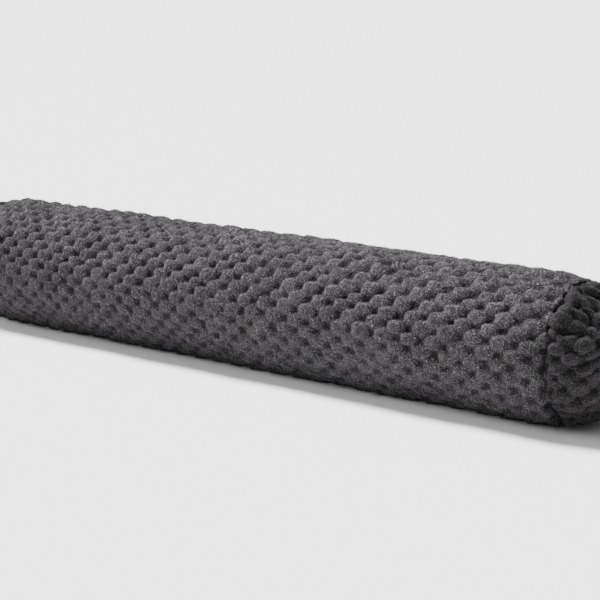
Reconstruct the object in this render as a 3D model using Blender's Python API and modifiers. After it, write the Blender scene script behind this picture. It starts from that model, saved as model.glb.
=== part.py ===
"""Body pillow: a long round cushion in chequered plush, with a puffed disc sewn into each end.

The tube of cover and its filling are one solid, and each end disc is a thin domed shell.
X runs along the pillow and Z up. The pillow rests on its flattened underside at Z = 0.
"""

import math

import bmesh
import bpy
import numpy as np

# Outer size over the tufts, in metres
LENGTH = 1.374
WIDTH = 0.2345
HEIGHT = 0.2215
FLOOR_SINK = 0.010           # depth of the round section that the floor presses flat

# Chequered plush: raised tufts and flush squares take turns around and along
ROWS = 42                    # squares around
COLUMNS = 58                 # squares along, from seam to seam
COLUMN_DRIFT = 0.105         # how much longer the squares grow toward the +X end
TUFT_RISE = 0.0015           # a tuft's top above the mean surface
SQUARE_DIP = 0.0035          # a flush square's middle below the mean surface
CORNER_DIP = 0.0025          # the corners of all squares below the mean surface
FLOOR_FADE = 0.025           # height over which the relief grows from the pressed underside

# Rounded shoulders, as distances from the middle of the pillow
SHOULDER_START = 0.5185
SHOULDER_CLOSE = 0.7057      # where the shoulder curve would meet the axis
SHOULDER_POWER = 2.6

# Drawn-in end seam: a rolled lip of the tube, a groove, and the disc's rim in it
LIP_WIDTH = 0.0075           # from the lip's start to the bottom of the groove
LIP_RADIUS = 0.005
LIP_TURN = (40.0, 0.0)       # degrees of the lip's arc points, 90 is outward
SEAM_SHARE = 0.835           # the groove's radius over the tube's

# Puffed end disc: distance past the seam, and radius over the tube's
DOME_STATIONS = (
    (0.0000, 0.832),
    (0.0065, 0.893),
    (0.0130, 0.905),
    (0.0240, 0.880),
    (0.0355, 0.841),
    (0.0535, 0.750),
    (0.0660, 0.600),
    (0.0725, 0.350),
    (0.0750, 0.000),
)
DISC_THICKNESS = 0.004
GAP = 0.0004                 # between a disc and what it covers
DISC_ROW = 0.0172            # squares of the disc's chequer, across and up
DISC_COLUMN = 0.0213
DISC_RELIEF = 0.0018

# Charcoal plush, linear colour
TUBE_COLOUR = (0.090, 0.082, 0.090)
DISC_COLOUR = (0.085, 0.077, 0.085)
PLUSH_ROUGHNESS = 0.95

MERGE = 0.00005

# Worked out from the sizes above
MEAN_WIDTH_RADIUS = WIDTH / 2 - TUFT_RISE
MEAN_RISE_RADIUS = (HEIGHT - TUFT_RISE + FLOOR_SINK) / 2
CENTRE_HEIGHT = HEIGHT - TUFT_RISE - MEAN_RISE_RADIUS
MEAN_RADIUS = (MEAN_WIDTH_RADIUS + MEAN_RISE_RADIUS) / 2
ROW_STEP = 2 * math.pi / ROWS
SEAM_X = LENGTH / 2 - DISC_RELIEF - DOME_STATIONS[-1][0] - GAP
LIP_START = SEAM_X - LIP_WIDTH


def clear_scene():
    for item in list(bpy.data.objects):
        bpy.data.objects.remove(item, do_unlink=True)


def shoulder_radius(x):
    """Radius along the tube: full in the middle, a superellipse from SHOULDER_START out."""
    reach = (np.abs(x) - SHOULDER_START) / (SHOULDER_CLOSE - SHOULDER_START)
    reach = np.clip(reach, 0.0, 1.0)
    return MEAN_RADIUS * (1.0 - reach ** SHOULDER_POWER) ** (1.0 / SHOULDER_POWER)


def shoulder_slope(x, step=0.0005):
    """Angle of the tube's outline against the axis, from a central difference."""
    return np.arctan2(shoulder_radius(x + step) - shoulder_radius(x - step), 2 * step)


def column_x(column):
    """Place along X of a column line, 0 to COLUMNS, by the length of the cloth between lips.

    The share of cloth t goes from 0 to 1, and t - drift * t * (1 - t) makes the squares
    shorter at the -X end and longer at the +X end without moving the two lips.
    """
    xs = np.linspace(-LIP_START, LIP_START, 4001)
    steps = np.hypot(np.diff(xs), np.diff(shoulder_radius(xs)))
    cloth = np.concatenate(([0.0], np.cumsum(steps)))
    t = np.asarray(column) / COLUMNS
    share = t - COLUMN_DRIFT * t * (1.0 - t)
    return np.interp(share * cloth[-1], cloth, xs)


def section_point(x, radius, angle):
    """Point of the pillow: round section, a little unequal, pressed flat at the floor."""
    share = radius / MEAN_RADIUS
    y = MEAN_WIDTH_RADIUS * share * math.cos(angle)
    z = CENTRE_HEIGHT + MEAN_RISE_RADIUS * share * math.sin(angle)
    return (x, y, max(z, 0.0))


def floor_fade(x, radius, angle):
    """Share of the relief that is left, from none at the floor to all at FLOOR_FADE."""
    return min(section_point(x, radius, angle)[2] / FLOOR_FADE, 1.0)


def tube_point(x, angle, lift):
    """Point of the tube, moved out by lift along its outline's normal."""
    radius, slope = float(shoulder_radius(x)), float(shoulder_slope(x))
    lift *= floor_fade(x, radius, angle)
    return section_point(x - lift * math.sin(slope), radius + lift * math.cos(slope), angle)


def dome_outline():
    """Outside of an end disc from its rim in the groove to the axis, as (x, radius) pairs."""
    return [(SEAM_X + GAP + past, share * MEAN_RADIUS) for past, share in DOME_STATIONS]


def set_in(outline, depth, first_x):
    """Outline moved in by depth: each run shifts along its normal, and neighbours meet.

    The first point is put where its run crosses first_x, and the last one on the axis.
    """
    points = np.array(outline)
    runs = np.diff(points, axis=0)
    runs /= np.linalg.norm(runs, axis=1)[:, None]
    starts = points[:-1] + depth * np.column_stack((runs[:, 1], -runs[:, 0]))
    first = starts[0] + runs[0] * (first_x - starts[0][0]) / runs[0][0]
    last = starts[-1] - runs[-1] * starts[-1][1] / runs[-1][1]
    result = [tuple(first)]
    for i in range(1, len(runs)):
        sides = np.column_stack((runs[i - 1], -runs[i]))
        along = np.linalg.solve(sides, starts[i] - starts[i - 1])[0]
        result.append(tuple(starts[i - 1] + along * runs[i - 1]))
    result.append((last[0], 0.0))
    return [(float(x), float(radius)) for x, radius in result]


def end_outline():
    """End of the filled tube from its lip to the axis: lip, groove, and the dome of filling."""
    slope = float(shoulder_slope(LIP_START))
    centre_x = LIP_START + LIP_RADIUS * math.sin(slope)
    centre_r = float(shoulder_radius(LIP_START)) - LIP_RADIUS * math.cos(slope)
    points = []
    for degrees in LIP_TURN:
        turn = math.radians(degrees)
        points.append((centre_x + LIP_RADIUS * math.cos(turn), centre_r + LIP_RADIUS * math.sin(turn)))
    points.append((SEAM_X, SEAM_SHARE * MEAN_RADIUS))
    return points + set_in(dome_outline(), DISC_THICKNESS + GAP, SEAM_X)


def turn_outline(name, outline):
    """Turn (x, radius) pairs about the axis with a Screw modifier, axis along local Z."""
    mesh = bpy.data.meshes.new(name + "_outline")
    points = [(radius, 0.0, x) for x, radius in outline]
    edges = [(i, i + 1) for i in range(len(points) - 1)]
    mesh.from_pydata(points, edges, [])
    turned = bpy.data.objects.new(name + "_turned", mesh)
    bpy.context.scene.collection.objects.link(turned)
    screw = turned.modifiers.new("turn", "SCREW")
    screw.axis = "Z"
    screw.angle = 2 * math.pi
    screw.steps = ROWS
    screw.render_steps = ROWS
    screw.use_merge_vertices = True
    screw.merge_threshold = MERGE
    evaluated = turned.evaluated_get(bpy.context.evaluated_depsgraph_get())
    result = bpy.data.meshes.new_from_object(evaluated)
    shape = bmesh.new()
    shape.from_mesh(result)
    bmesh.ops.remove_doubles(shape, verts=shape.verts, dist=MERGE)
    bmesh.ops.recalc_face_normals(shape, faces=shape.faces)
    bpy.data.objects.remove(turned, do_unlink=True)
    bpy.data.meshes.remove(mesh)
    bpy.data.meshes.remove(result)
    return shape


def turned_place(corner):
    """Place along the axis, radius and angle of a point of a turned shape."""
    x, angle = corner.co.z, math.atan2(corner.co.y, corner.co.x)
    return x, math.hypot(corner.co.x, corner.co.y), angle


def plush_material(name, colour):
    material = bpy.data.materials.new(name + "_plush")
    material.use_nodes = True
    shader = material.node_tree.nodes["Principled BSDF"]
    shader.inputs["Base Color"].default_value = (*colour, 1.0)
    shader.inputs["Roughness"].default_value = PLUSH_ROUGHNESS
    shader.inputs["Metallic"].default_value = 0.0
    return material


def finish_piece(name, shape, collection, colour):
    """Write a bmesh to a named object with its own plush material, its faces outward."""
    bmesh.ops.recalc_face_normals(shape, faces=shape.faces)
    if shape.calc_volume(signed=True) < 0.0:
        bmesh.ops.reverse_faces(shape, faces=shape.faces)
    mesh = bpy.data.meshes.new(name)
    shape.to_mesh(mesh)
    shape.free()
    mesh.shade_smooth()
    mesh.materials.append(plush_material(name, colour))
    collection.objects.link(bpy.data.objects.new(name, mesh))


def cloth_squares(shape):
    """Faces of the chequered cloth of the tube: those between its two lips."""
    lowest = float(shoulder_radius(LIP_START)) - MERGE
    squares = []
    for face in shape.faces:
        places = [turned_place(corner) for corner in face.verts]
        if all(abs(x) < LIP_START + MERGE and radius > lowest for x, radius, _ in places):
            squares.append(face)
    return squares


def build_filled_tube(collection):
    """Tube of cover and its filling: chequer relief on the tube, drawn-in domed ends."""
    lines = column_x(np.arange(COLUMNS + 1))
    end = end_outline()
    tube = [(float(x), float(shoulder_radius(x))) for x in lines]
    far_end = [(-x, radius) for x, radius in end]
    shape = turn_outline("pillow_tube", end[::-1] + tube[::-1] + far_end)
    middles = set(bmesh.ops.poke(shape, faces=cloth_squares(shape))["verts"])
    for corner in shape.verts:
        x, radius, angle = turned_place(corner)
        if corner in middles:
            column = int(np.searchsorted(lines, x)) - 1
            row = math.floor(angle / ROW_STEP)
            lift = TUFT_RISE if (column + row) % 2 == 0 else -SQUARE_DIP
            corner.co = tube_point(float(column_x(column + 0.5)), (row + 0.5) * ROW_STEP, lift)
        elif abs(x) < LIP_START - MERGE:
            corner.co = tube_point(x, angle, -CORNER_DIP)
        else:
            corner.co = section_point(x, radius, angle)
    finish_piece("pillow_tube", shape, collection, TUBE_COLOUR)


def outer_faces(shape, outside):
    """Faces of a turned shape whose corners all lie on the outside outline."""
    outline = np.array(outside)
    faces = []
    for face in shape.faces:
        spots = [turned_place(corner)[:2] for corner in face.verts]
        if all(np.abs(outline - spot).max(axis=1).min() < MERGE for spot in spots):
            faces.append(face)
    return faces


def build_end_disc(name, side, collection):
    """Shell of an end disc: a puffed dome with chequer relief, and its inside set back.

    The chequer is cos(pi y / column) * cos(pi z / row) across the disc, which is one at
    a tuft's middle and minus one at a flush square's.
    """
    outside = dome_outline()
    rim_x = outside[0][0]
    shape = turn_outline(name, outside[::-1] + set_in(outside, DISC_THICKNESS, rim_x))
    if shape.calc_volume(signed=True) < 0.0:
        bmesh.ops.reverse_faces(shape, faces=shape.faces)
    poked = bmesh.ops.poke(shape, faces=outer_faces(shape, outside))["faces"]
    shape.normal_update()
    cover = {corner for face in poked for corner in face.verts if corner.co.z > rim_x + MERGE}
    for corner in cover:
        chequer = math.cos(math.pi * corner.co.x / DISC_COLUMN) * math.cos(math.pi * corner.co.y / DISC_ROW)
        corner.co += corner.normal * (DISC_RELIEF * chequer * floor_fade(*turned_place(corner)))
    for corner in shape.verts:
        x, radius, angle = turned_place(corner)
        corner.co = section_point(side * x, radius, angle)
    finish_piece(name, shape, collection, DISC_COLOUR)


def main():
    clear_scene()
    collection = bpy.data.collections.new("body_pillow")
    bpy.context.scene.collection.children.link(collection)
    build_filled_tube(collection)
    build_end_disc("end_disc_near", 1.0, collection)
    build_end_disc("end_disc_far", -1.0, collection)


main()
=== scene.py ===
import math

import bpy
import numpy as np
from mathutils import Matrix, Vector


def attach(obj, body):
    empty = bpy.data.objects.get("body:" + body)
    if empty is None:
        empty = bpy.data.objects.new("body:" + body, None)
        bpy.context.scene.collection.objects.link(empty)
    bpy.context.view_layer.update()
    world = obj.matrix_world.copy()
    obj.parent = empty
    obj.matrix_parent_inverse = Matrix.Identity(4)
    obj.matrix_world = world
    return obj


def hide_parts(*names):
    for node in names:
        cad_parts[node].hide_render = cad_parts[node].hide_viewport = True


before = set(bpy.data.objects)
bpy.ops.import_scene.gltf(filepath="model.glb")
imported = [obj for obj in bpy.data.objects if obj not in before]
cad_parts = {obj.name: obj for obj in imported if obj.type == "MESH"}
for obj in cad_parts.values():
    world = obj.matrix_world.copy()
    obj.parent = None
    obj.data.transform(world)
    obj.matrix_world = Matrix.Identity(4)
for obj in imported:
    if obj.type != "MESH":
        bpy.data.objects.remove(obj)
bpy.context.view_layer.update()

# Sizes of the sewn pillow, in metres, the same as its solids have
LENGTH, WIDTH, HEIGHT = 1.374, 0.2345, 0.2215
FLOOR_SINK = 0.010           # depth of the round section that the floor presses flat
TUFT_RISE = 0.0015           # tuft tops above the mean surface
ROWS = 42                    # squares of the chequered plush around the tube
COLUMNS = 58                 # squares along it, from seam to seam
COLUMN_DRIFT = 0.105         # how much longer the squares grow toward the +X end
SHOULDER_START = 0.5185
SHOULDER_CLOSE = 0.7057
SHOULDER_POWER = 2.6
LIP_WIDTH = 0.0075
LIP_RADIUS = 0.005
SEAM_SHARE = 0.835
DISC_RELIEF = 0.0018
GAP = 0.0004
DISC_ROW, DISC_COLUMN = 0.0172, 0.0213

# Puff of an end disc past its seam: a rim that swells out of the groove, then a dome
PUFF = 0.075
PUFF_SWELL = 0.013
RIM_SHARE = 0.832
SWELL_SHARE = 0.905
PUFF_POWER, PUFF_EASE = 1.75, 3.2

# Relief of the plush
RECESS_DEPTH = 0.0062        # recesses between the tufts, below the mean surface
TUFT_HEIGHT = 0.0068         # a tuft over the recesses
TUFT_SPREAD = (1.64, 1.54)   # a tuft's length and width over its square's
TUFT_CORNER = 3.1            # squareness of a tuft seen from above
TUFT_FLAT, TUFT_ROUND = 2.9, 1.7
TUFT_TILT = (0.55, 0.45)     # how much higher a tuft stands at its left and upper sides
TILT_TURN = math.radians(25.0)  # where around the tube the tilt across the rows changes side
TILT_UNDER = 1.7             # how much stronger that tilt is on the other side
DISC_TILT = (0.3, -0.3)      # tilt of a disc's tufts, along its columns and rows
TUFT_LUCK = (0.06, 0.07)     # how far tufts shift, in squares, and how much their sizes differ
SQUARE_WANDER = 0.10         # how far the lines between the squares wander, in squares
FILLING_LUMP = 0.0016        # soft lumps of the filling under the tube's cloth

MEAN_WIDTH_RADIUS = WIDTH / 2 - TUFT_RISE
MEAN_RISE_RADIUS = (HEIGHT - TUFT_RISE + FLOOR_SINK) / 2
CENTRE_HEIGHT = HEIGHT - TUFT_RISE - MEAN_RISE_RADIUS
MEAN_RADIUS = (MEAN_WIDTH_RADIUS + MEAN_RISE_RADIUS) / 2
ROW_STEP = 2 * math.pi / ROWS
SEAM_X = LENGTH / 2 - DISC_RELIEF - PUFF - GAP
LIP_START = SEAM_X - LIP_WIDTH

# Cloth crowded over the seam on the pillow's upper front, and the seam's unevenness
CROWD_ANGLE, CROWD_REACH = math.radians(122.0), math.radians(38.0)
CROWD_SHIFT = 0.0075         # how far the crowded cloth hangs out over the seam
CROWD_DIP = 0.0045           # how far it sinks into the seam there
CROWD_RISE = 0.0055          # how far the disc's rim rises to meet it
SEAM_WANDER = 0.0016         # how uneven the seam is along the pillow
SEAM_WAVES = (9, 13, 6)      # count, reach and seed of the waves that make it so
TUBE_REACH, RIM_REACH = 0.030, 0.020  # how far from the seam the tube and a disc follow it

# Creases of a puffed disc, each a run of points: mm in from the rim and degrees around it
CREASES = (
    ((2.7, 148), (27.4, 152), (48.7, 145), (80.1, 146)),
    ((28.1, 125), (51.1, 125), (72.1, 137)),
    ((16.0, 106), (42.5, 102)),
    ((5.8, 208), (20.8, 223), (67.3, 244)),
    ((60.0, 176), (95.0, 160), (130.0, 120)),
)
FAR_CREASE_TURN = math.radians(150.0)  # how far the far disc's creases are turned
CREASE_DEPTH = 0.0045
CREASE_WIDTH = 0.0036
PUFF_LUMP = 0.0030           # soft lumps of the filling under a disc
GATHERS = 17                 # gathers around a disc's rim
GATHER_DEPTH = 0.003
GATHER_PLACE, GATHER_REACH = 0.02, 0.016  # middle of the gathers past the rim, and their half length
RIM_FADE = 0.008             # distance from the rim over which a disc's relief grows
INSET = 0.0125               # depth of a disc's plain inside under its mean surface

# Pile. Its real hairs, about 0.02 mm thick, are too fine to show in the render, so they are
# drawn coarser, as blades that each stand for a bundle of them.
BLADE_SHORT = 0.0017         # length in a recess
BLADE_GAIN = 0.18            # more length for each metre of relief
TUFT_SPLAY = 0.55            # how far the pile follows a tuft's sides instead of standing off
RECESS_SHADE = 0.0054        # relief under which the pile's colour is painted darker, painted shade in the recesses
BLADE_WIDTH = 0.0010
NAP_LEAN = 0.95              # mean lean from upright, in radians
NAP_YAW = -0.70              # nap direction, from the tube's run toward its underside
NAP_SOFT = 0.65              # how far the pile is shaded like the cloth under it
LOCK = (0.0036, 0.0015)      # length and width of the locks that the pile clings together in
LOCK_WANDER = 0.0022         # how far the locks' edges wander
DRIFT_PER_METRE = 120        # how fast the pile's lean and turn drift from place to place
ROOT_SINK = 0.0006           # how deep a blade's root stands in the cloth
EVEN_STEPS = (0.7548776662466927, 0.5698402909980532)  # steps of an even sequence over an area
LOCK_TONE, HAIR_TONE = 0.26, 0.16  # unevenness of tone from lock to lock and blade to blade
ROOT_SHADE, TIP_SHADE = (0.27, 0.26), (0.47, 0.46)  # shade of a blade's root and end in a recess, and what a tuft adds to it: darker roots and recesses are painted shade, paler ends partly painted highlight
END_PAINTED_SHADE = 0.16             # how much darker the pile is painted toward the pillow's ends: painted shade where the shoulders turn from the light
END_START, END_RUN = 0.38, 0.20  # where along X that starts, and how far it takes
COVER_SHADE = 0.40           # shade of the cloth under the pile, on a tuft; lower relief paints it darker, painted shade in the recesses
TUBE_BLADES, DISC_BLADES = 588000, 40000
PATCH = np.array([[-0.0006, 0.0], [0.0006, 0.0], [0.0, 0.0012]])

# Where the grid lines lie in a square, closer at its edges where the pads are steep
SQUARE_LINES = np.array([0.0, 0.10, 0.25, 0.5, 0.75, 0.90])

# Camera that the photograph's outlines were matched with, at its 600 x 600 frame
CAMERA_PLACE = (1.7953, -2.1551, 0.6998)
CAMERA_TURN = math.radians(-38.33)
CAMERA_DIP = math.radians(12.0)
FRAME_PIXELS = 600
FOCAL_PIXELS = 1709
SENSOR = 36.0


def shoulder_radius(x):
    """Radius along the tube: full in the middle, a superellipse from SHOULDER_START out."""
    reach = np.clip((np.abs(x) - SHOULDER_START) / (SHOULDER_CLOSE - SHOULDER_START), 0.0, 1.0)
    return MEAN_RADIUS * (1.0 - reach ** SHOULDER_POWER) ** (1.0 / SHOULDER_POWER)


def column_x(column):
    """Place along X of a column line: the cloth's share t, less drift * t * (1 - t)."""
    xs = np.linspace(-LIP_START, LIP_START, 4001)
    steps = np.hypot(np.diff(xs), np.diff(shoulder_radius(xs)))
    cloth = np.concatenate(([0.0], np.cumsum(steps)))
    t = column / COLUMNS
    return np.interp((t - COLUMN_DRIFT * t * (1.0 - t)) * cloth[-1], cloth, xs)


def lip_outline(count):
    """Outline of the rolled lip and the groove's wall: an arc, then a straight run inward."""
    slope = math.atan2(shoulder_radius(LIP_START + 1e-4) - shoulder_radius(LIP_START - 1e-4), 2e-4)
    centre_x = LIP_START + LIP_RADIUS * math.sin(slope)
    centre_r = shoulder_radius(LIP_START) - LIP_RADIUS * math.cos(slope)
    turn = np.linspace(math.pi / 2 + slope, 0.0, count)
    arc = np.column_stack((centre_x + LIP_RADIUS * np.cos(turn), centre_r + LIP_RADIUS * np.sin(turn)))
    wall_end = np.array([SEAM_X, SEAM_SHARE * MEAN_RADIUS])
    run = np.linspace(0.0, 1.0, count)[1:, None]
    return np.vstack((arc, arc[-1] + run * (wall_end - arc[-1])))


def outline_normals(outline):
    """Unit normals of an outline of (x, radius) points that runs toward +X or the axis."""
    run = np.gradient(outline, axis=0)
    run /= np.linalg.norm(run, axis=1)[:, None]
    return np.column_stack((-run[:, 1], run[:, 0]))


def section_points(x, radius, angle):
    """Points of the pillow's section, before the floor presses it: a nearly round ellipse."""
    share = radius / MEAN_RADIUS
    y = MEAN_WIDTH_RADIUS * share * np.cos(angle)
    z = CENTRE_HEIGHT + MEAN_RISE_RADIUS * share * np.sin(angle)
    return np.stack(np.broadcast_arrays(x, y, z), axis=-1)


def waves(u, v, count, reach, seed):
    """Soft unevenness between about -1 and 1: a sum of sines, whole waves around v."""
    rng = np.random.default_rng(seed)
    total = np.zeros(np.broadcast(u, v).shape)
    for _ in range(count):
        along, around = rng.uniform(-reach, reach), rng.integers(-reach, reach + 1)
        total = total + np.sin(2 * np.pi * (along * u + around * v) + rng.uniform(0, 2 * np.pi))
    return total / math.sqrt(count)


def plush_relief(column, row, seed, tilt):
    """Height of the chequered plush over its recesses, in metres.

    Every second square is a tuft that spreads over its neighbours. q is the superellipse
    distance from its middle, a little shifted, turned and sized by chance, and it stands
    TUFT_HEIGHT * (1 - q ** TUFT_FLAT) ** (1 / TUFT_ROUND) high, times a tilt that falls along
    the columns and rows. The highest of the nearest tufts wins, so a tuft's high edges lie
    over its neighbours and the squares between them stay as small recesses.
    """
    rng = np.random.default_rng(seed)
    chance = rng.normal(0.0, 1.0, (COLUMNS + 4, ROWS, 5)).clip(-2.0, 2.0)
    base_column, base_row = np.floor(column).astype(int), np.floor(row).astype(int)
    height = np.zeros(np.broadcast(column, row).shape)
    for step_column in (-1, 0, 1):
        for step_row in (-1, 0, 1):
            c, r = base_column + step_column, base_row + step_row
            luck = chance[c % chance.shape[0], r % ROWS]
            size = 1.0 + TUFT_LUCK[1] * luck[..., 2]
            u = 2.0 * (column - c - 0.5 - TUFT_LUCK[0] * luck[..., 0]) / (TUFT_SPREAD[0] * size)
            v = 2.0 * (row - r - 0.5 - TUFT_LUCK[0] * luck[..., 1]) / (TUFT_SPREAD[1] * size)
            u, v = u + 0.08 * luck[..., 3] * v, v - 0.08 * luck[..., 3] * u
            q = (np.abs(u) ** TUFT_CORNER + np.abs(v) ** TUFT_CORNER) ** (1.0 / TUFT_CORNER)
            top = TUFT_HEIGHT * (1.0 + 0.08 * luck[..., 4]) * (1.0 - (tilt[0] * u + tilt[1] * v) / 2)
            tuft = top * (1.0 - np.clip(q, 0.0, 1.0) ** TUFT_FLAT) ** (1.0 / TUFT_ROUND)
            height = np.where((c + r) % 2 == 0, np.maximum(height, tuft), height)
    return height


def closed_faces(rings, around):
    """Faces of a closed skin: a first pole, rings of points that close around, a last pole.

    Gives the quads between the rings and the triangles at the poles, as point numbers, and
    for each of their corners its ring and its step around, which ends at the full turn.
    """
    ring, step = np.meshgrid(np.arange(rings - 1), np.arange(around), indexing="ij")
    ring, step = ring.ravel(), step.ravel()
    turn, pole = np.arange(around), np.zeros(around, int)
    end = pole + rings
    parts = []
    for rows, steps in (
        ((ring, ring + 1, ring + 1, ring), (step, step, step + 1, step + 1)),
        ((pole - 1, pole, pole), (turn, turn, turn + 1)),
        ((end - 1, end, end - 1), (turn, turn, turn + 1)),
    ):
        rows, steps = np.stack(rows, axis=1), np.stack(steps, axis=1)
        numbers = 1 + rows * around + steps % around
        numbers = np.where(rows < 0, 0, np.where(rows == rings, 1 + rings * around, numbers))
        parts.append((numbers, rows, steps))
    return parts


def mesh_piece(name, points, faces, pile, spots):
    """Object from arrays: points, lists of faces, pile shade per point, map place per corner."""
    mesh = bpy.data.meshes.new(name)
    sides = np.concatenate([np.full(len(part), part.shape[1]) for part in faces])
    corners = np.concatenate([part.ravel() for part in faces])
    mesh.vertices.add(len(points))
    mesh.vertices.foreach_set("co", points.astype(np.float32).ravel())
    mesh.loops.add(len(corners))
    mesh.loops.foreach_set("vertex_index", corners.astype(np.int32))
    mesh.polygons.add(len(sides))
    mesh.polygons.foreach_set("loop_start", (np.cumsum(sides) - sides).astype(np.int32))
    mesh.update(calc_edges=True)
    mesh.shade_smooth()
    shade = mesh.attributes.new("pile", "FLOAT", "POINT")
    shade.data.foreach_set("value", pile.astype(np.float32).ravel())
    mesh.uv_layers.new(name="OFBake")
    mesh.uv_layers["OFBake"].uv.foreach_set("vector", spots.astype(np.float32).ravel())
    piece = bpy.data.objects.new(name, mesh)
    bpy.context.scene.collection.objects.link(piece)
    return piece


def unit(vectors):
    """Vectors brought to length 1."""
    return vectors / np.maximum(np.linalg.norm(vectors, axis=-1, keepdims=True), 1e-12)


def lengths_along(outline):
    """Distance along an outline of (x, radius) points, from its first point."""
    return np.concatenate(([0.0], np.cumsum(np.hypot(*np.diff(outline, axis=0).T))))


def tube_outline():
    """Outline of the cover from seam to seam: points, normals, column and relief share."""
    whole = np.arange(COLUMNS)[:, None] + SQUARE_LINES[None, :]
    column = np.append(whole.ravel(), COLUMNS)
    x = column_x(column)
    tube = np.column_stack((x, shoulder_radius(x)))
    lip = lip_outline(6)[1:]
    past = lengths_along(np.vstack((tube[-1:], lip)))[1:]
    fade = 1.0 - np.clip(past / past[-1], 0.0, 1.0) ** 2
    outline = np.vstack((lip[::-1] * (-1, 1), tube, lip))
    columns = np.concatenate((-past[::-1] / DISC_COLUMN, column, COLUMNS + past / DISC_COLUMN))
    share = np.concatenate((fade[::-1], np.ones(len(column)), fade))
    return outline, outline_normals(outline), columns, share


TUBE = tube_outline()
TUBE_LENGTHS = lengths_along(TUBE[0])


def crowd(angle):
    """Share by which the cloth is crowded over the seam: exp(-(angle away / reach) ** 4)."""
    away = (angle - CROWD_ANGLE + np.pi) % (2 * np.pi) - np.pi
    return np.exp(-(away / CROWD_REACH) ** 4)


def seam_shift(angle):
    """How far the cloth at the seam lies out along X: uneven waves plus the crowded cloth."""
    return SEAM_WANDER * waves(0.0, angle / (2 * np.pi), *SEAM_WAVES) + CROWD_SHIFT * crowd(angle)


def tube_surface(along, angle, plain=False):
    """Points and relief of the tube's cover at distances along its outline and angles around.

    The outline point moves along its normal by the plush relief less the recesses' depth, plus
    soft lumps of the filling. The tufts' tilt across the rows goes with the sine of the angle
    from TILT_TURN, so that their high sides face up on both flanks. Near the ends the cloth
    follows the uneven seam along X and sinks where it is crowded, fading inward as
    exp(-(distance / TUBE_REACH) ** 2). The floor presses flat what comes under it. The plain
    surface has no relief.
    """
    outline, normals, columns, share = TUBE
    x, radius = (np.interp(along, TUBE_LENGTHS, outline[:, i]) for i in (0, 1))
    normal_x, normal_r = (np.interp(along, TUBE_LENGTHS, normals[:, i]) for i in (0, 1))
    if plain:
        return section_points(x, radius, angle), 0.0
    column = np.interp(along, TUBE_LENGTHS, columns)
    share = np.interp(along, TUBE_LENGTHS, share)
    row = angle / ROW_STEP
    u, v = column / COLUMNS, row / ROWS
    fall = np.sin(angle - TILT_TURN)
    tilt = TUFT_TILT[0], TUFT_TILT[1] * np.where(fall > 0.0, fall, TILT_UNDER * fall)
    column, row = (
        line + SQUARE_WANDER * waves(u, v, 12, 9, seed) for line, seed in ((column, 3), (row, 4))
    )
    relief = plush_relief(column, row, 11, tilt)
    end = np.exp(-(np.minimum(along, TUBE_LENGTHS[-1] - along) / TUBE_REACH) ** 2)
    lift = share * (relief - RECESS_DEPTH + FILLING_LUMP * waves(u, v, 10, 7, 5))
    lift = lift - CROWD_DIP * crowd(angle) * end ** 2
    x = x + np.sign(x) * seam_shift(angle) * end
    points = section_points(x + lift * normal_x, radius + lift * normal_r, angle)
    points[..., 2] = np.maximum(points[..., 2], 0.0)
    # The relief returned also sets the pile's colour: faded into the seam it paints the pile dark there,
    # painted shade in the groove, less where the cloth is crowded
    return points, relief * (share + (1.0 - share) * crowd(angle))


def puff_outline():
    """Outline of a puffed end disc from its rim in the groove to its middle.

    The rim swells as a quarter sine, and the dome is a superellipse with two powers.
    """
    part = np.linspace(0.0, 1.0, 60)
    swell = RIM_SHARE + (SWELL_SHARE - RIM_SHARE) * np.sin(part * np.pi / 2) ** 0.7
    rim = np.column_stack((part * PUFF_SWELL, swell))
    k = np.sin(np.linspace(0.0, np.pi / 2, 300))
    dome = SWELL_SHARE * (1.0 - k ** PUFF_POWER) ** (1.0 / PUFF_EASE)
    rise = np.column_stack((PUFF_SWELL + k * (PUFF - PUFF_SWELL), dome))
    line = np.vstack((rim[:-1], rise))
    return np.column_stack((SEAM_X + GAP + line[:, 0], line[:, 1] * MEAN_RADIUS))


DISC = puff_outline()
DISC_LENGTHS = lengths_along(DISC)
DISC_NORMALS = outline_normals(DISC)


def crease_distance(over, up, turn):
    """Distance on the flat disc to the nearest crease, all creases turned by an angle."""
    nearest = np.full(np.broadcast(over, up).shape, 1.0)
    for crease in CREASES:
        flat = DISC_LENGTHS[-1] - np.array([mm for mm, _ in crease]) / 1000
        way = np.radians([degrees for _, degrees in crease]) + turn
        spots = np.column_stack((flat * np.cos(way), flat * np.sin(way)))
        for (a, b), (c, d) in zip(spots[:-1], spots[1:]):
            part = ((over - a) * (c - a) + (up - b) * (d - b)) / ((c - a) ** 2 + (d - b) ** 2)
            part = np.clip(part, 0.0, 1.0)
            nearest = np.minimum(nearest, np.hypot(over - a - part * (c - a), up - b - part * (d - b)))
    return nearest


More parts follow.
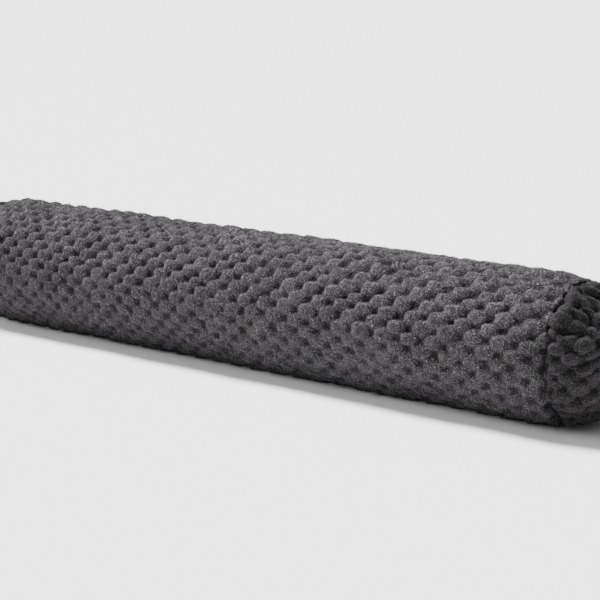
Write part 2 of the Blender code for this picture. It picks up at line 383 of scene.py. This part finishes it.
def disc_surface(along, angle, side, seed, plain=False):
    """Points and relief of an end disc at distances along its outline from the rim inward.

    The chequer lies on the flat cloth, at distance and angle from the disc's middle. Added to
    its relief are the lumps of the filling, gathers that run as a cosine around the rim, a cut
    along each crease with a low swell beside it, each a bell curve of the distance to the
    crease, and the rise of the rim under the tube's crowded cloth. Along X the rim follows the
    uneven seam.
    """
    x, radius = (np.interp(along, DISC_LENGTHS, DISC[:, i]) for i in (0, 1))
    normal_x, normal_r = (np.interp(along, DISC_LENGTHS, DISC_NORMALS[:, i]) for i in (0, 1))
    if plain:
        return section_points(side * x, radius, angle), 0.0
    flat = DISC_LENGTHS[-1] - along
    over, up = flat * np.cos(angle), flat * np.sin(angle)
    relief = plush_relief(20.5 + over / DISC_COLUMN, 20.5 + up / DISC_ROW, seed, DISC_TILT)
    away = crease_distance(over, up, 0.0 if side > 0 else FAR_CREASE_TURN)
    crease = np.exp(-(away / CREASE_WIDTH) ** 2)
    puff = 0.35 * np.exp(-((away - 2.6 * CREASE_WIDTH) / (1.4 * CREASE_WIDTH)) ** 2)
    fade = np.clip(along / RIM_FADE, 0.0, 1.0) ** 0.6
    gather = 0.5 + 0.5 * np.cos(GATHERS * angle + 0.8 * np.sin(3 * angle))
    gather = gather * np.exp(-((along - GATHER_PLACE) / GATHER_REACH) ** 2)
    rim = np.exp(-(along / RIM_REACH) ** 2)
    lift = fade * (relief - RECESS_DEPTH + PUFF_LUMP * waves(over / 0.16, up / 0.16, 8, 3, seed + 7))
    lift = lift - GATHER_DEPTH * gather + fade * CREASE_DEPTH * (puff - crease)
    lift = lift + CROWD_RISE * crowd(angle) * np.exp(-((along - 0.005) / RIM_REACH) ** 2)
    x = x + SEAM_WANDER * waves(0.0, angle / (2 * np.pi), *SEAM_WAVES) * rim
    points = section_points(side * (x + lift * normal_x), radius + lift * normal_r, angle)
    points[..., 2] = np.maximum(points[..., 2], 0.0)
    # The relief returned also sets the pile's colour: lowered along the creases and faded at the rim, it
    # paints shade into them
    return points, relief * (fade + (1.0 - fade) * crowd(angle)) * (1.0 - 0.6 * crease)


def make_cover():
    """Tube cover: a grid over the outline and the angle around, closed by rings at each end.

    The rings shrink straight to a middle inside the seam, where the disc hides them.
    """
    angle = (np.arange(ROWS)[:, None] + SQUARE_LINES[None, :]).ravel() * ROW_STEP
    points, relief = tube_surface(TUBE_LENGTHS[:, None], angle[None, :])
    # Painted shade: the cloth's colour darkens where the relief is low, in the recesses and into the seam
    pile = COVER_SHADE * np.clip(relief / RECESS_SHADE, 0.0, 1.0)
    ends, middles = [], []
    for ring, side in ((points[0], -1.0), (points[-1], 1.0)):
        middle = np.array([side * (SEAM_X - 0.001), 0.0, CENTRE_HEIGHT])
        ends.append(np.stack([middle + (ring - middle) * part for part in (0.7, 0.35)]))
        middles.append(middle[None])
    points = np.concatenate((ends[0][::-1], points, ends[1]))
    pile = np.pad(pile, ((2, 2), (0, 0))).ravel()
    u = np.pad(TUBE_LENGTHS / TUBE_LENGTHS[-1], 3, mode="edge")
    v = np.append(angle, 2 * np.pi) / (2 * np.pi)
    parts = closed_faces(len(points), len(angle))
    faces = [numbers[:, ::-1] for numbers, _, _ in parts]
    spots = [np.stack((u[rows + 1], v[steps]), axis=-1)[:, ::-1].reshape(-1, 2) for _, rows, steps in parts]
    points = np.concatenate((middles[0], points.reshape(-1, 3), middles[1]))
    return mesh_piece("plush_cover", points, faces, np.pad(pile, 1), np.concatenate(spots))


def make_disc(name, side, seed):
    """Puffed end disc: a grid over its outline and the angle around, and a plain inside.

    The inside is the outline moved along its normals by INSET, on a few rings.
    """
    around = 252
    angle = np.linspace(0.0, 2 * np.pi, around, endpoint=False)[None, :]
    along = np.linspace(0.0, DISC_LENGTHS[-1], 74)
    outer, relief = disc_surface(along[:, None], angle, side, seed)
    # Painted shade: the cloth's colour darkens where the relief is low, in the recesses, creases and at the
    # rim
    pile = COVER_SHADE * np.clip(relief / RECESS_SHADE, 0.0, 1.0)
    set_in = DISC - INSET * DISC_NORMALS
    set_in[0, 1] = set_in[1, 1] - 0.003
    picks = np.linspace(0, len(DISC) - 20, 9).round().astype(int)
    inner = section_points(side * set_in[picks, :1], set_in[picks, 1:], angle)
    inner[..., 2] = np.maximum(inner[..., 2], 0.0)
    points = np.concatenate((inner[::-1], outer[:-1])).reshape(-1, 3)
    poles = np.array([[side * set_in[-1, 0], 0.0, CENTRE_HEIGHT]]), outer[-1, :1]
    points = np.concatenate((poles[0], points, poles[1]))
    pile = np.concatenate((np.zeros(1 + len(picks) * around), pile[:-1].ravel(), pile[-1, :1]))
    reach = np.pad(0.5 * (1.0 - along / along[-1]), (1 + len(picks), 0), mode="edge")
    parts = closed_faces(len(picks) + len(along) - 1, around)
    order = slice(None, None, -1 if side > 0 else 1)
    faces = [numbers[:, order] for numbers, _, _ in parts]
    spots = []
    for _, rows, steps in parts:
        turn, far = 2 * np.pi * steps[:, order] / around, reach[rows[:, order] + 1]
        spots.append(np.stack((0.5 + far * np.cos(turn), 0.5 + far * np.sin(turn)), axis=-1).reshape(-1, 2))
    return mesh_piece(name, points, faces, pile, np.concatenate(spots))


def pile_pieces(names, surface, lengths, radii, count, seed, start=0.0, nap=None):
    """Cut pile of the plush, drawn as flat tapered blades, each a bundle of the real hairs.

    Roots follow an even quasi-random sequence over the cloth's area. A blade leaves the cloth
    between its normal and the nap, with a lean that drifts softly from place to place, and it
    is a triangle as wide as BLADE_WIDTH at its root. Blades in one lock, a cell of wavy strips
    that run with the nap, share their lean, turn, length and tone.
    """
    rng = np.random.default_rng(seed)
    step = np.arange(count) + 0.5
    share, turn = ((step * even) % 1.0 for even in EVEN_STEPS)
    order = np.argsort(share)
    middles = 0.5 * (radii[1:] + radii[:-1]) * np.diff(lengths)
    area = np.concatenate(([0.0], np.cumsum(middles)))
    share = np.sort(start + (1.0 - start) * share)
    turn = turn[order]
    along = np.interp(share * area[-1], area, lengths)
    angle = turn * 2 * np.pi
    root, relief = surface(along, angle)
    fine = 0.0006
    radius = np.maximum(np.interp(along, lengths, radii), 0.002)
    inward = np.where(along > lengths[-1] - 2 * fine, -1.0, 1.0)
    normals = []
    for plain in (False, True):
        here = surface(along, angle, plain)[0]
        across = (surface(along + inward * fine, angle, plain)[0] - here) * inward[:, None]
        around = surface(along, angle + fine / radius, plain)[0] - here
        normals.append(unit(np.cross(around, across)))
    normal, mean_normal = normals
    upright = unit(TUFT_SPLAY * normal + (1.0 - TUFT_SPLAY) * mean_normal)
    across = unit(np.cross(upright, np.cross(across, upright)))
    around = np.cross(across, upright)
    places = along * DRIFT_PER_METRE, angle * radius * DRIFT_PER_METRE
    drift = [waves(*places, 14, 2.6, seed + i) for i in (1, 2)]
    run, over = along, angle * radius
    if nap is not None:
        across = unit(nap - np.sum(nap * upright, axis=1, keepdims=True) * upright)
        around = np.cross(across, upright)
        run, over = root @ np.array(nap), root @ np.cross(nap, (1.0, 0.0, 0.0))
    strip = (over * math.cos(NAP_YAW) - run * math.sin(NAP_YAW) + LOCK_WANDER * drift[0]) / LOCK[1]
    strip = np.floor(strip).astype(int)
    place = (run * math.cos(NAP_YAW) + over * math.sin(NAP_YAW) + LOCK_WANDER * drift[1]) / LOCK[0]
    place = np.floor(place + rng.random(4096)[strip % 4096]).astype(int)
    lock = rng.normal(0.0, 1.0, (1021, 509, 5))[strip % 1021, place % 509].clip(-2.0, 2.0)
    lean = NAP_LEAN + 0.22 * drift[0] + 0.22 * lock[:, 0] + rng.normal(0.0, 0.12, count)
    yaw = NAP_YAW + 0.5 * drift[1] + 0.55 * lock[:, 1] + rng.normal(0.0, 0.25, count)
    course = across * np.cos(yaw)[:, None] + around * np.sin(yaw)[:, None]
    way = upright * np.cos(lean)[:, None] + course * np.sin(lean)[:, None]
    side = unit(np.cross(way, upright))
    spin = (0.40 * lock[:, 2] + rng.normal(0.0, 0.20, count))[:, None]
    side = side * np.cos(spin) + np.cross(way, side) * np.sin(spin)
    long = (BLADE_SHORT + BLADE_GAIN * np.maximum(relief, 0.0)) * rng.uniform(0.85, 1.15, count)
    long = long * (1.0 + 0.16 * lock[:, 3])
    root = root - ROOT_SINK * normal
    half = 0.5 * BLADE_WIDTH * rng.uniform(0.7, 1.3, count)[:, None] * side
    points = np.stack((root - half, root + half, root + long[:, None] * way), axis=1)
    points[..., 2] = np.maximum(points[..., 2], 0.0)
    tone = LOCK_TONE * lock[:, 4] + rng.normal(0.0, HAIR_TONE, count)
    # Painted shade: the pile's colour darkens in the recesses and at the blades' roots, and the tufts'
    # blade ends are paler, partly painted highlight
    depth = np.clip(relief / RECESS_SHADE, 0.0, 1.0)
    # Painted shade toward the pillow's ends, where the shoulders turn from the light
    tone = tone - END_PAINTED_SHADE * np.clip((np.abs(root[:, 0]) - END_START) / END_RUN, 0.0, 1.0) ** 1.5
    low, high = (base + gain * depth + tone for base, gain in (ROOT_SHADE, TIP_SHADE))
    shade = np.stack((low, low, high), axis=1)
    spots = np.stack((share, turn), axis=-1)
    soft = unit(NAP_SOFT * normal + (1.0 - NAP_SOFT) * np.cross(side, way))
    pieces = []
    for name, chosen in zip(names, np.array_split(np.arange(count), len(names))):
        spot = spots[chosen]
        spot = (spot - spot.min(axis=0)) / (spot.max(axis=0) - spot.min(axis=0))
        spot = np.repeat(spot[:, None, :], 3, axis=1) + PATCH[None]
        faces = [np.arange(3 * len(chosen)).reshape(-1, 3)]
        piece = mesh_piece(name, points[chosen].reshape(-1, 3), faces, shade[chosen], spot.reshape(-1, 2))
        piece.data.normals_split_custom_set_from_vertices(np.repeat(soft[chosen], 3, axis=0))
        pieces.append(piece)
    return pieces


def linear(code):
    """Linear colour of an sRGB hex value, with alpha."""
    parts = [int(code[i:i + 2], 16) / 255 for i in (1, 3, 5)]
    return tuple(p / 12.92 if p <= 0.04045 else ((p + 0.055) / 1.055) ** 2.4 for p in parts) + (1.0,)


def add_node(tree, kind, settings=None, links=None):
    """Adds a node, sets its properties and sockets, and links its inputs to other outputs."""
    node = tree.nodes.new(kind)
    for key, value in (settings or {}).items():
        if isinstance(key, str) and hasattr(node, key):
            setattr(node, key, value)
        else:
            node.inputs[key].default_value = value
    for key, output in (links or {}).items():
        tree.links.new(output, node.inputs[key])
    return node


def plush_material(name, tip, body, pit):
    """Dyed polyester plush with a cut pile: soft and matt, with a faint pale sheen at grazing
    angles. Its colour is painted dark between the tufts, painted shade where the pile shades
    itself, and pale at the pile's tips, partly painted highlight.

    The shade is the piece's own pile attribute plus three noises, and a ramp gives its colour
    from the painted shade of the pits over the body to the pale tips, partly painted highlight.
    The grain's wisps are 3.3 mm (300 in a metre) and the clumps 9 mm (110), both coarser than
    single hairs, which are too fine to show. The broad unevenness of brushed pile is 110 mm
    (9 in a metre).
    """
    material = bpy.data.materials.new(name)
    material.use_nodes = True
    tree = material.node_tree
    shader = tree.nodes["Principled BSDF"]
    place = add_node(tree, "ShaderNodeTexCoord")
    pile = add_node(tree, "ShaderNodeAttribute", {"attribute_name": "pile"})
    grain = add_node(tree, "ShaderNodeTexNoise", {"Scale": 300.0, "Detail": 1.5, "Distortion": 0.6},
                     {"Vector": place.outputs["Object"]})
    clump = add_node(tree, "ShaderNodeTexNoise", {"Scale": 110.0, "Detail": 3.0, "Roughness": 0.6},
                     {"Vector": place.outputs["Object"]})
    broad = add_node(tree, "ShaderNodeTexNoise", {"Scale": 9.0, "Detail": 2.0},
                     {"Vector": place.outputs["Object"]})
    offset = add_node(tree, "ShaderNodeMath", {"operation": "SUBTRACT", 1: 0.5}, {0: grain.outputs["Fac"]})
    curl = add_node(tree, "ShaderNodeMath", {"operation": "ABSOLUTE"}, {0: offset.outputs[0]})
    curl = add_node(tree, "ShaderNodeMath", {"operation": "MULTIPLY_ADD", 1: 5.0, 2: -0.5},
                    {0: curl.outputs[0]})
    mixed = add_node(tree, "ShaderNodeMath", {"operation": "MULTIPLY_ADD", 1: 0.62},
                     {0: curl.outputs[0], 2: pile.outputs["Fac"]}).outputs[0]
    for noise, share in ((clump, 0.25), (broad, 0.15)):
        eased = add_node(tree, "ShaderNodeMath", {"operation": "SUBTRACT", 1: 0.5},
                         {0: noise.outputs["Fac"]})
        mixed = add_node(tree, "ShaderNodeMath", {"operation": "MULTIPLY_ADD", 1: share},
                         {0: eased.outputs[0], 2: mixed}).outputs[0]
    ramp = add_node(tree, "ShaderNodeValToRGB", None, {"Fac": mixed})
    ramp.color_ramp.elements[0].position = 0.10
    ramp.color_ramp.elements[0].color = linear(pit)
    ramp.color_ramp.elements[1].position = 1.0
    ramp.color_ramp.elements[1].color = linear(tip)
    middle = ramp.color_ramp.elements.new(0.55)
    middle.color = linear(body)
    tree.links.new(ramp.outputs["Color"], shader.inputs["Base Color"])
    bump_high = add_node(tree, "ShaderNodeBump", {"Strength": 1.0, "Distance": 0.0018},
                         {"Height": curl.outputs[0]})
    bump = add_node(tree, "ShaderNodeBump", {"Strength": 0.6, "Distance": 0.0025},
                    {"Height": clump.outputs["Fac"], "Normal": bump_high.outputs["Normal"]})
    tree.links.new(bump.outputs["Normal"], shader.inputs["Normal"])
    shader.inputs["Roughness"].default_value = 0.92
    shader.inputs["Specular IOR Level"].default_value = 0.25
    shader.inputs["Sheen Weight"].default_value = 0.25
    shader.inputs["Sheen Roughness"].default_value = 0.45
    shader.inputs["Sheen Tint"].default_value = linear("#b8b2b8")
    return material


def make_floor():
    """Plain pale floor just under the pillow."""
    mesh = bpy.data.meshes.new("floor")
    reach = 40.0
    mesh.from_pydata([(-reach, -reach, -0.0005), (reach, -reach, -0.0005), (reach, reach, -0.0005),
                      (-reach, reach, -0.0005)], [], [(0, 1, 2, 3)])
    floor = bpy.data.objects.new("floor", mesh)
    bpy.context.scene.collection.objects.link(floor)
    material = bpy.data.materials.new("pale_floor")
    material.use_nodes = True
    shader = material.node_tree.nodes["Principled BSDF"]
    shader.inputs["Base Color"].default_value = (0.92, 0.92, 0.92, 1.0)
    shader.inputs["Roughness"].default_value = 0.9
    mesh.materials.append(material)
    return floor


def add_sun(name, toward, strength, spread):
    """Soft sun that shines along a direction; spread is its disc's width in degrees."""
    data = bpy.data.lights.new(name, "SUN")
    data.energy = strength
    data.angle = math.radians(spread)
    lamp = bpy.data.objects.new(name, data)
    lamp.rotation_euler = Vector(toward).to_track_quat("-Z", "Y").to_euler()
    bpy.context.scene.collection.objects.link(lamp)


def make_light():
    """Soft studio light: a key from above on the left, a low fill from the left, pale surround."""
    add_sun("key", (0.54, -0.05, -0.84), 12.5, 16.0)
    add_sun("fill", (0.88, 0.38, -0.28), 3.0, 30.0)
    world = bpy.data.worlds.new("surround")
    world.use_nodes = True
    world.node_tree.nodes["Background"].inputs["Color"].default_value = (1.0, 1.0, 1.0, 1.0)
    world.node_tree.nodes["Background"].inputs["Strength"].default_value = 0.28
    bpy.context.scene.world = world


def make_camera():
    """Camera at the photograph's viewing angle."""
    data = bpy.data.cameras.new("camera")
    data.sensor_width = SENSOR
    data.lens = SENSOR * FOCAL_PIXELS / FRAME_PIXELS
    camera = bpy.data.objects.new("camera", data)
    dip = math.cos(CAMERA_DIP)
    forward = Vector((math.sin(CAMERA_TURN) * dip, math.cos(CAMERA_TURN) * dip, -math.sin(CAMERA_DIP)))
    camera.location = CAMERA_PLACE
    camera.rotation_euler = forward.to_track_quat("-Z", "Y").to_euler()
    bpy.context.scene.collection.objects.link(camera)
    bpy.context.scene.camera = camera


def finish_piece(piece, material, node):
    """Gives a piece its cloth, rides it on the body, and lets a cover replace its solid."""
    piece.data.materials.append(material)
    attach(piece, "root")
    if node:
        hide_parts(node)


def main():
    make_camera()
    make_light()
    make_floor()
    # Charcoal plush of the tube, its pile brushed; its ramp paints shade into the pits and partly painted
    # highlight onto the pile's tips
    tube_plush = plush_material("charcoal_cut_plush", "#88838a", "#524e52", "#0c0b0c")
    # The same plush on the discs, painted darker: painted shade, matched to the near disc turned from the
    # light. Their pile's nap points down.
    disc_plush_painted_shade = plush_material("charcoal_cut_plush_disc_painted_shade", "#524e52", "#2f2c2f", "#080808")
    finish_piece(make_cover(), tube_plush, "pillow_tube")
    names = ["pile_left", "pile_middle", "pile_right"]
    for piece in pile_pieces(names, tube_surface, TUBE_LENGTHS, TUBE[0][:, 1], TUBE_BLADES, 31):
        finish_piece(piece, tube_plush, None)
    for end, side, seed in (("near", 1.0, 21), ("far", -1.0, 22)):
        disc = make_disc("plush_disc_" + end, side, seed)
        finish_piece(disc, disc_plush_painted_shade, "end_disc_" + end)

        def surface(along, angle, plain=False, side=side, seed=seed):
            return disc_surface(along, side * angle, side, seed, plain)

        nap = (0.0, 0.0, -1.0)
        names = ["pile_disc_" + end]
        piles = pile_pieces(names, surface, DISC_LENGTHS, DISC[:, 1], DISC_BLADES, seed + 20, 0.02, nap)
        finish_piece(piles[0], disc_plush_painted_shade, None)


main()
